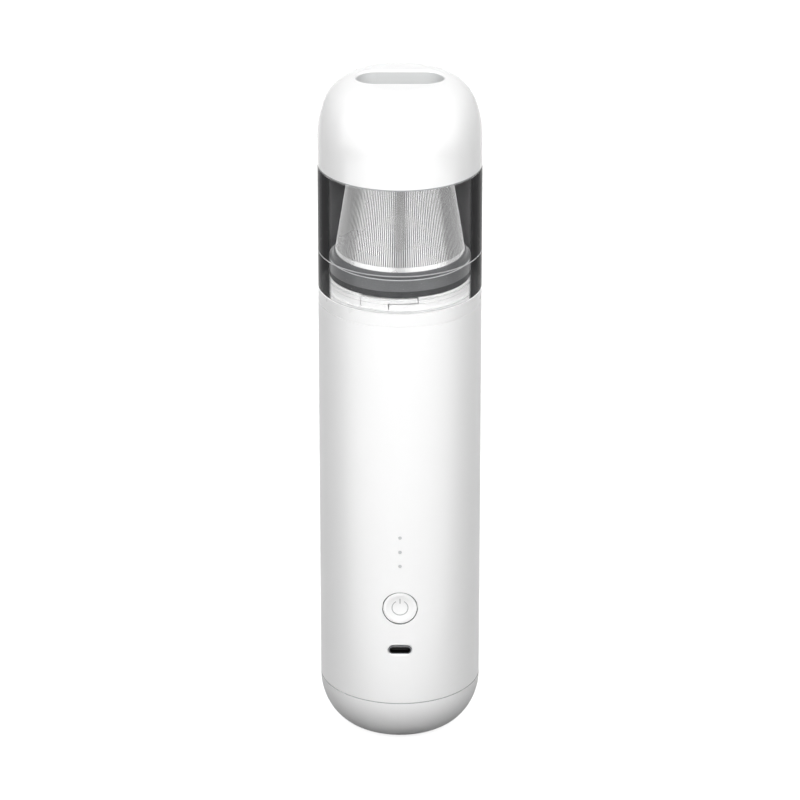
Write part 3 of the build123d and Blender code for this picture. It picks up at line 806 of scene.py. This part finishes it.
# A dark grey ring that shines softly round the socket's mouth.
SOCKET_STEEL = Metal("black-nickelled steel", "#626365", roughness=0.35)
# Drawing marks run up the can under a milky grey plating.
CAN_STEEL = Metal(
    "zinc-plated drawn steel", "#A9ABAD",
    roughness=0.34, direction=Direction.UPRIGHT, line_mm=0.8, depth_mm=0.006,
    turned_radius_mm=14.0,
)
# A warm silver with rolling lines along the strip.
NICKEL_STRIP = Metal("rolled nickel strip", "#C2BCAF", roughness=0.25, depth_mm=0.003)
# Porous bronze, brown-gold and streaked with the oil it holds.
BUSH_BRONZE = Metal(
    "sintered bronze", "#A9814F",
    roughness=0.42, line_mm=0.5, depth_mm=0.008,
    turned_radius_mm=3.2, streaks=0.25,
)
# Thin bright gold bars on the black tongue.
CONTACT_GOLD = Metal(
    "gold-plated contact bronze", "#B59455",
    roughness=0.3, direction=Direction.UPRIGHT, line_mm=0.3, depth_mm=0.001,
)
# Grey and woolly, it darkens the slits of the cone from behind.
PLEAT_FLEECE = FilterFleece("pleated filter fleece", "#8F8E8B", thin_colour="#73726F")
# A dark sponge that lets no light through the vents.
EXHAUST_FOAM = OpenCellFoam("open-cell polyurethane foam", "#5A5B5D", pore_colour="#1C1C1D")
# Deep green mask with lighter tracks.
BOARD_MASK = CircuitBoard("solder-masked glass-fibre board", mask="#0F3B2B", track="#2C6A4D")


# Meshes


def mesh_object(name: str, mesh: bmesh.types.BMesh) -> bpy.types.Object:
    """Turns a working mesh into an object of the scene.

    Args:
        name: The piece's name.
        mesh: The working mesh, which is freed.

    Returns:
        The new object, with smooth faces.
    """
    bmesh.ops.recalc_face_normals(mesh, faces=mesh.faces)
    data = bpy.data.meshes.new(name)
    mesh.to_mesh(data)
    mesh.free()
    for polygon in data.polygons:
        polygon.use_smooth = True
    made = bpy.data.objects.new(name, data)
    bpy.context.scene.collection.objects.link(made)
    return made


@dataclass
class SubAssembly:
    """What all groups of pieces share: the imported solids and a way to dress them."""

    nodes: Nodes

    def dress(self, finish: Finish, *names: str) -> None:
        """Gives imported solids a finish.

        Args:
            finish: What the pieces are made of.
            *names: The solids' names.
        """
        for name in names:
            for slot in self.nodes[name].material_slots:
                slot.material = material_of(finish)
            log.info("%s: %s", name, finish.name)

    def dress_faces(self, name: str, finish: Finish, chosen: Callable[[Face], bool]) -> None:
        """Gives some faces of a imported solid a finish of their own.

        Args:
            name: The solid's name.
            finish: What these faces are like.
            chosen: Tells whether a face is one of them.
        """
        data = self.nodes[name].data
        data.materials.append(material_of(finish))
        for face in data.polygons:
            if chosen(face):
                face.material_index = len(data.materials) - 1
        log.info("%s: %s in places", name, finish.name)

    def mount(self, piece: bpy.types.Object, body: Body, finish: Finish) -> None:
        """Dresses a new piece and fixes it to the body that carries it.

        Args:
            piece: The new piece, already in place.
            body: The body that it moves with.
            finish: What it is made of.
        """
        piece.data.materials.append(material_of(finish))
        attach(piece, body.value)
        log.info("%s: %s on %s", piece.name, finish.name, body.value)


@dataclass
class Nozzle(SubAssembly):
    """The domed cap with its suction slot, the duct, the inlet flap and their seals."""

    slot_half_depth: float = 7.5 * MM
    slot_half_straight: float = 9.0 * MM
    rim_z: float = 269.2 * MM
    slack: float = 0.1 * MM

    def in_duct(self, face: Face) -> bool:
        """Tells whether a face lines the suction duct, where the mould isn't polished and the walls
        get painted shade.

        Args:
            face: A face of the nozzle cap.

        Returns:
            True for the walls of the duct.
        """
        beyond = max(abs(face.center.x) - self.slot_half_straight, 0.0)
        from_middle = math.hypot(beyond, face.center.y)
        return from_middle < self.slot_half_depth + self.slack and face.center.z < self.rim_z

    def build(self) -> None:
        """Dresses the nozzle's pieces."""
        self.dress(NOZZLE_ABS, "nozzle_cap")
        # The duct's walls get painted shade.
        self.dress_faces("nozzle_cap", DUCT_PAINTED_SHADE_ABS, self.in_duct)
        self.dress(GASKET_GREY, "nozzle_gasket")
        self.dress(INNER_ABS, "valve_seat")
        self.dress(FLAP_SILICONE, "inlet_flap")
        self.dress(BRIGHT_STEEL, "flap_pin")


@dataclass
class DustBin(SubAssembly):
    """The smoked bin.

    Outer face, bore, rims and the line round it are dressed apart, so that the wall has depth, and
    rims and line get painted highlights. The Z of a face's normal is above slanted on a rim, and
    above level where the face lies flat.
    """

    wall_radius: float = 31.0 * MM
    line_low: float = 201.1 * MM
    line_high: float = 201.7 * MM
    ring_foot: float = 186.05 * MM
    ring_top: float = 186.12 * MM
    ring_lift: float = 0.04 * MM
    lower_edge_top: float = 186.5 * MM
    level: float = 0.9
    slanted: float = 0.5

    def finish_of(self, face: Face) -> Finish:
        """Chooses the finish of one face of the bin.

        Args:
            face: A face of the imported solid.

        Returns:
            The finish of that part of the wall.
        """
        outward = Vector((face.center.x, face.center.y, 0.0))
        # Rims and the line round the bin get painted highlights.
        if face.center.z < self.ring_top:
            return BIN_RIM_HIGHLIGHT
        if outward.length > self.wall_radius:
            if self.line_low < face.center.z < self.line_high:
                return BIN_LINE_HIGHLIGHT
            if face.center.z < self.lower_edge_top and abs(face.normal.z) < self.level:
                return BIN_SEAM
        if abs(face.normal.z) > self.slanted:
            return BIN_RIM_HIGHLIGHT
        return BIN_BORE if face.normal.dot(outward) < 0 else BIN_OUTSIDE

    def lift_ring(self, dust_bin: bpy.types.Object) -> None:
        """Lifts the contact ring's foot a hair off the collar, so that they share no plane.

        Args:
            dust_bin: The bin.
        """
        foot = dust_bin.vertex_groups.new(name="contact ring")
        low = [v.index for v in dust_bin.data.vertices if v.co.z < self.ring_foot]
        foot.add(low, 1.0, "REPLACE")
        lift = dust_bin.modifiers.new("ring lift", "DISPLACE")
        lift.direction = "Z"
        lift.mid_level = 0.0
        lift.strength = self.ring_lift
        lift.vertex_group = foot.name

    def build(self) -> None:
        """Dresses the bin face by face."""
        dust_bin = self.nodes["dust_bin"]
        self.lift_ring(dust_bin)
        self.dress(BIN_OUTSIDE, "dust_bin")
        finishes = [BIN_OUTSIDE]
        for face in dust_bin.data.polygons:
            finish = self.finish_of(face)
            if finish not in finishes:
                finishes.append(finish)
                dust_bin.data.materials.append(material_of(finish))
            face.material_index = finishes.index(finish)


@dataclass
class FilterUnit(SubAssembly):
    """The steel cone with its slits, the pleats inside it, and the frame and gasket under it.

    The flange's broken edge is found by its radius, its height and the Z of its faces' normals.
    """

    rim_radius: float = 26.8 * MM
    rim_low: float = 197.9 * MM
    rim_high: float = 198.35 * MM
    least_slant: float = 0.3
    most_slant: float = 0.95

    def at_rim(self, face: Face) -> bool:
        """Tells whether a face is part of the flange's broken upper edge.

        Args:
            face: A face of the frame.

        Returns:
            True for the faces that get the painted edge highlight.
        """
        slanted = self.least_slant < face.normal.z < self.most_slant
        high = self.rim_low < face.center.z < self.rim_high
        return slanted and high and math.hypot(face.center.x, face.center.y) > self.rim_radius

    def build(self) -> None:
        """Dresses the filter's pieces."""
        self.dress(FILTER_STEEL, "filter_cone")
        self.dress(PLEAT_FLEECE, "filter_pleats")
        self.dress(FRAME_ABS, "filter_frame", "filter_top")
        # The flange's broken upper edge gets a painted highlight.
        self.dress_faces("filter_frame", FRAME_EDGE_HIGHLIGHT, self.at_rim)
        self.dress(GASKET_BLACK, "filter_gasket")


@dataclass
class Grip(SubAssembly):
    """The long white grip: shell, collar, bottom cap, foot, cap screws and exhaust foam.

    A seam's faces are found by their place and by how far their normals turn from the skin's.
    """

    skin_radius: float = 31.0 * MM
    seam_low: float = 20.75 * MM
    seam_high: float = 21.45 * MM
    button_z: float = 62.5 * MM
    button_hole: float = 7.4 * MM
    least_slant: float = 0.3
    edge_on: float = 0.5

    def in_seam(self, face: Face) -> bool:
        """Tells whether a face lies in a seam: between shell and bottom cap, or round the button.

        Args:
            face: A face of the shell or the cap.

        Returns:
            True for the broken edges of a seam, False for the skin beside it.
        """
        if math.hypot(face.center.x, face.center.z - self.button_z) < self.button_hole:
            return face.center.y < 0 and abs(face.normal.y) < self.edge_on
        at_skin = math.hypot(face.center.x, face.center.y) > self.skin_radius
        at_seam = self.seam_low < face.center.z < self.seam_high
        return at_skin and at_seam and abs(face.normal.z) > self.least_slant

    def build(self) -> None:
        """Dresses the grip's pieces."""
        self.dress(GRIP_ABS, "body_shell")
        self.dress(CAP_ABS, "bottom_cap")
        self.dress(COLLAR_ABS, "lock_collar")
        # The broken edges of the seams get painted shade.
        for name in ("body_shell", "bottom_cap"):
            self.dress_faces(name, PAINTED_SEAM_SHADE, self.in_seam)
        self.dress(GASKET_GREY, "foot_pad")
        self.dress(BRIGHT_STEEL, "cap_screws")
        self.dress(EXHAUST_FOAM, "exhaust_foam")


@dataclass
class PowerSign(SubAssembly):
    """The common power sign, printed in the button's dish: a bar in an arc that is open above."""

    dish_depth: float = 0.75 * MM
    dish_radius: float = 5.4 * MM
    crown_y: float = -31.35 * MM
    centre_z: float = 62.5 * MM
    arc_radius: float = 3.1 * MM
    half_gap: float = math.radians(30)
    bar_low: float = 1.7 * MM
    bar_high: float = 4.0 * MM
    stroke: float = 0.4 * MM
    film: float = 0.015 * MM
    arc_steps: int = 64
    bar_steps: int = 8

    def ink_y(self, x: float, z: float) -> float:
        """Finds the printed face of the dish.

        Args:
            x: Sideways distance from the button's middle.
            z: Upward distance from the button's middle.

        Returns:
            The Y of the ink's face.
        """
        sphere = (self.dish_radius**2 + self.dish_depth**2) / (2 * self.dish_depth)
        floor_y = self.crown_y + self.dish_depth
        return floor_y - sphere + math.sqrt(sphere**2 - x**2 - z**2) - self.film

    def strip(self, mesh: bmesh.types.BMesh, rows: list[list[tuple[float, float]]]) -> None:
        """Adds a strip of ink.

        Args:
            mesh: The working mesh.
            rows: The points across the stroke, row after row, as (x, z) from the button's middle.
        """
        laid = [
            [mesh.verts.new((x, self.ink_y(x, z), self.centre_z + z)) for x, z in row]
            for row in rows
        ]
        for before, after in zip(laid, laid[1:]):
            for i in range(len(before) - 1):
                mesh.faces.new((before[i], before[i + 1], after[i + 1], after[i]))

    def build(self) -> None:
        """Makes the sign and fixes it to the button."""
        mesh = bmesh.new()
        half = self.stroke / 2
        widths = (self.arc_radius - half, self.arc_radius, self.arc_radius + half)
        arc = []
        for step in range(self.arc_steps + 1):
            share = step / self.arc_steps
            angle = math.pi / 2 + self.half_gap + share * (2 * math.pi - 2 * self.half_gap)
            arc.append([(r * math.cos(angle), r * math.sin(angle)) for r in widths])
        self.strip(mesh, arc)
        rise = (self.bar_high - self.bar_low) / self.bar_steps
        bar = [
            [(side, self.bar_low + rise * step) for side in (-half, 0.0, half)]
            for step in range(self.bar_steps + 1)
        ]
        self.strip(mesh, bar)
        sign = mesh_object("power_sign", mesh)
        self.mount(sign, Body.BUTTON, SIGN_PRINT)


@dataclass
class Controls(SubAssembly):
    """The power button with its switch, and the three charge lamps."""

    edge_on: float = 0.5

    def at_side(self, face: Face) -> bool:
        """Tells whether a face of the button cap looks into the gap round it."""
        return abs(face.normal.y) < self.edge_on

    def build(self) -> None:
        """Dresses the controls' pieces and prints the sign."""
        self.dress(GRIP_ABS, "button_cap")
        # The cap's sides, in the gap round it, get painted shade.
        self.dress_faces("button_cap", PAINTED_SEAM_SHADE, self.at_side)
        self.dress(BLACK_PART, "press_switch", "switch_plunger")
        self.dress(GUIDE_PC, "light_guide")
        self.dress(CHIP_CERAMIC, "lamp_chips")
        PowerSign(self.nodes).build()


@dataclass
class ChargingSocket(SubAssembly):
    """The charging socket: metal shell, tongue, and the rows of contacts on the tongue."""

    contact_count: int = 12
    contact_pitch: float = 0.5 * MM
    contact_width: float = 0.25 * MM
    contact_height: float = 0.03 * MM
    contact_length: float = 2.2 * MM
    set_back: float = 0.9 * MM
    half_tongue: float = 0.35 * MM
    least_turn: float = 0.01 * MM

    @cached_property
    def mouth(self) -> tuple[float, float]:
        """Gives half the straight part of the shell's width, and the height of its middle."""
        low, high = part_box("port_shell")
        return (high.x - low.x - (high.z - low.z)) / 2, (low.z + high.z) / 2

    def faces_in(self, face: Face) -> bool:
        """Tells whether a face of the metal shell looks into the socket.

        Args:
            face: A face of the shell.

        Returns:
            True for the lining.
        """
        half, middle_z = self.mouth
        nearest_x = min(max(face.center.x, -half), half)
        outward = Vector((face.center.x - nearest_x, 0.0, face.center.z - middle_z))
        return face.normal.dot(outward) < -self.least_turn

    def build(self) -> None:
        """Dresses the socket and lays its contacts on both faces of the tongue."""
        self.dress(SOCKET_STEEL, "port_shell")
        # The shell's inner metal faces are painted black as the shade inside the socket.
        self.dress_faces("port_shell", SOCKET_BLACK_AND_SHADE, self.faces_in)
        self.dress(SOCKET_BLACK_AND_SHADE, "port_tongue")
        low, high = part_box("port_tongue")
        size = Vector((self.contact_width, self.contact_length, self.contact_height))
        middle_y = low.y + self.set_back + size.y / 2
        mesh = bmesh.new()
        for side in (-1, 1):
            middle_z = (low.z + high.z) / 2 + side * (self.half_tongue + size.z / 2)
            for i in range(self.contact_count):
                x = (i - (self.contact_count - 1) / 2) * self.contact_pitch
                place = Matrix.LocRotScale(Vector((x, middle_y, middle_z)), None, size)
                bmesh.ops.create_cube(mesh, size=1.0, matrix=place)
        contacts = mesh_object("socket_contacts", mesh)
        self.mount(contacts, Body.GRIP, CONTACT_GOLD)


@dataclass
class PowerPack(SubAssembly):
    """The cells, the strips between them, the board and the frame that holds them."""

    def build(self) -> None:
        """Dresses the power pack's pieces."""
        self.dress(INNER_ABS, "chassis", "motor_deck")
        self.dress(CELL_SLEEVE, "left_cell", "right_cell")
        self.dress(NICKEL_STRIP, "cell_link", "cell_tabs")
        self.dress(BOARD_MASK, "main_board")
        self.dress(BLACK_PART, "board_parts")


@dataclass
class Drive(SubAssembly):
    """The motor, its seat, and the fan with its diffuser, cover and guard."""

    def build(self) -> None:
        """Dresses the drive's pieces."""
        self.dress(CAN_STEEL, "motor_can", "armature")
        self.dress(BLACK_PART, "motor_endbell")
        self.dress(FERRITE, "motor_magnets")
        self.dress(SHAFT_STEEL, "motor_shaft")
        self.dress(BUSH_BRONZE, "shaft_bushes")
        self.dress(INNER_ABS, "motor_cradle")
        self.dress(GASKET_BLACK, "motor_pad", "fan_cushion")
        self.dress(FAN_NYLON, "impeller", "diffuser", "fan_cover", "guard_grille")


# Studio

# What the lamps point at: the grip above its controls, the top of the dome, and straight up for
# the card that lies in front.
MIDDLE: Triple = (0.0, 0.0, 0.2)
CROWN: Triple = (0.0, 0.0, 0.27)
ABOVE: Triple = (0.0, -0.434, 1.0)


@dataclass(frozen=True)
class SoftBox:
    """A flat soft lamp: where it stands, what it points at, its size and how bright its face is."""

    name: str
    place: Triple
    aim: Triple
    width: float
    height: float
    radiance: float
    role: LampRole = LampRole.LIGHT

    def light(self) -> None:
        """Sets the lamp up in the scene."""
        data = bpy.data.lights.new(self.name, "AREA")
        data.shape = "RECTANGLE"
        data.size = self.width
        data.size_y = self.height
        data.energy = self.radiance * math.pi * self.width * self.height
        lamp = bpy.data.objects.new(self.name, data)
        lamp.location = self.place
        lamp.rotation_mode = "QUATERNION"
        lamp.rotation_quaternion = (Vector(self.aim) - Vector(self.place)).to_track_quat("-Z", "Y")
        lamp.visible_camera = False
        lamp.visible_glossy = self.role is LampRole.REFLECTION
        lamp.visible_diffuse = self.role is LampRole.LIGHT
        bpy.context.scene.collection.objects.link(lamp)


@dataclass
class Studio:
    """White floor, soft lamps and the camera at the photograph's place.

    The camera is fitted to the curves of the nozzle's edge, the bin's foot and the bottom seam.
    """

    ambient: float = 0.38
    backdrop: float = 1.0
    floor_size: float = 6.0
    paper_colour: str = "#B4B4B4"
    bounce_colour: str = "#1A1A1A"
    floor_lift: float = 0.83
    camera_place: Triple = (0.0, -1.575, 0.8156)
    camera_aim: Triple = (0.0, 0.0, 0.1373)
    lens: float = 198.4
    clip_start: float = 0.05
    clip_end: float = 50.0
    lamps: tuple[SoftBox, ...] = (
        SoftBox("key box", (0.0, -0.85, 0.68), MIDDLE, 0.5, 0.4, 5.9),
        SoftBox("broad box", (0.0, -0.95, 0.85), MIDDLE, 1.7, 0.4, 2.5),
        SoftBox("left box", (-0.55, -0.75, 0.8), MIDDLE, 0.4, 0.4, 3.95),
        SoftBox("right box", (0.55, -0.75, 0.8), MIDDLE, 0.4, 0.4, 3.95),
        SoftBox("top box", (0.0, 0.0, 1.1), CROWN, 0.9, 0.9, 0.35),
        SoftBox("rear box", (0.0, 1.25, 0.45), (0.0, 0.0, 0.15), 0.8, 0.7, 6.5),
        SoftBox("left card", (-0.86, -0.72, 0.35), MIDDLE, 1.85, 1.2, 1.35, LampRole.REFLECTION),
        SoftBox("right card", (0.86, -0.72, 0.35), MIDDLE, 1.85, 1.2, 1.35, LampRole.REFLECTION),
        SoftBox("low card", (0.0, -0.435, 0.004), ABOVE, 1.3, 0.73, 2.0, LampRole.REFLECTION),
        SoftBox("top card", (0.0, 0.0, 1.3), (0.0, 0.0, 0.25), 1.3, 1.3, 2.0, LampRole.REFLECTION),
    )

    def white_to_sight(self, tree: bpy.types.NodeTree) -> Socket:
        """Tells apart the rays that should meet white paper.

        Args:
            tree: The tree to add the nodes to.

        Returns:
            1 for camera, glossy and transmission rays, 0 for the light that falls on things.
        """
        path = add_node(tree, "LightPath")
        seen = path.outputs["Is Camera Ray"]
        for kind in ("Is Glossy Ray", "Is Transmission Ray"):
            either = {0: seen, 1: path.outputs[kind]}
            seen = add_node(tree, "Math", {"operation": "MAXIMUM"}, either).outputs[0]
        return seen

    def set_world(self) -> None:
        """Makes the background white and the fill light plain."""
        world = bpy.data.worlds.new("white studio")
        bpy.context.scene.world = world
        world.use_nodes = True
        tree = world.node_tree
        tree.nodes.clear()
        output = add_node(tree, "OutputWorld")
        fill = add_node(tree, "Background", {"Color": WHITE, "Strength": self.ambient})
        paper = add_node(tree, "Background", {"Color": WHITE, "Strength": self.backdrop})
        parts = {0: self.white_to_sight(tree), 1: fill.outputs[0], 2: paper.outputs[0]}
        mix = add_node(tree, "MixShader", {}, parts)
        tree.links.new(mix.outputs[0], output.inputs["Surface"])

    def lay_floor(self) -> None:
        """Lays a floor that looks white, keeps a soft shadow and is clear from below."""
        mesh = bmesh.new()
        half = self.floor_size / 2
        corners = [
            mesh.verts.new((x * half, y * half, 0.0))
            for x, y in ((-1, -1), (1, -1), (1, 1), (-1, 1))
        ]
        mesh.faces.new(corners)
        floor = mesh_object("studio_floor", mesh)
        surface = Surface("matt white studio paper")
        tree = surface.tree
        paper = add_node(tree, "BsdfDiffuse", {"Color": linear(self.paper_colour)})
        bounce = add_node(tree, "BsdfDiffuse", {"Color": linear(self.bounce_colour)})
        lift = add_node(tree, "Emission", {"Color": WHITE, "Strength": self.floor_lift})
        lit = add_node(tree, "AddShader", {}, {0: paper.outputs[0], 1: lift.outputs[0]})
        faces_up = {0: self.white_to_sight(tree), 1: bounce.outputs[0], 2: lit.outputs[0]}
        top = add_node(tree, "MixShader", {}, faces_up)
        below = add_node(tree, "NewGeometry").outputs["Backfacing"]
        clear = add_node(tree, "BsdfTransparent")
        both = {0: below, 1: top.outputs[0], 2: clear.outputs[0]}
        mix = add_node(tree, "MixShader", {}, both)
        floor.data.materials.append(surface.show(mix.outputs[0]))

    def place_camera(self) -> None:
        """Stands the camera where the photograph was taken from."""
        data = bpy.data.cameras.new("photograph")
        data.lens = self.lens
        data.clip_start = self.clip_start
        data.clip_end = self.clip_end
        camera = bpy.data.objects.new("photograph", data)
        camera.location = self.camera_place
        camera.rotation_mode = "QUATERNION"
        look = Vector(self.camera_aim) - Vector(self.camera_place)
        camera.rotation_quaternion = look.to_track_quat("-Z", "Y")
        bpy.context.scene.collection.objects.link(camera)
        bpy.context.scene.camera = camera

    def build(self) -> None:
        """Sets up the whole studio."""
        self.set_world()
        self.lay_floor()
        for lamp in self.lamps:
            lamp.light()
        self.place_camera()
        bpy.context.scene.view_settings.view_transform = "Standard"


def main() -> None:
    """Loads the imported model, dresses its sub-assemblies in order and sets up the studio."""
    logging.basicConfig(level=logging.INFO, format="%(message)s")
    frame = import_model()
    nodes: Nodes = frame["nodes"]
    for group in (Nozzle, DustBin, FilterUnit, Grip, Controls, ChargingSocket, PowerPack, Drive):
        log.info("building %s", group.__name__)
        group(nodes).build()
    Studio().build()


if __name__ == "__main__":
    main()
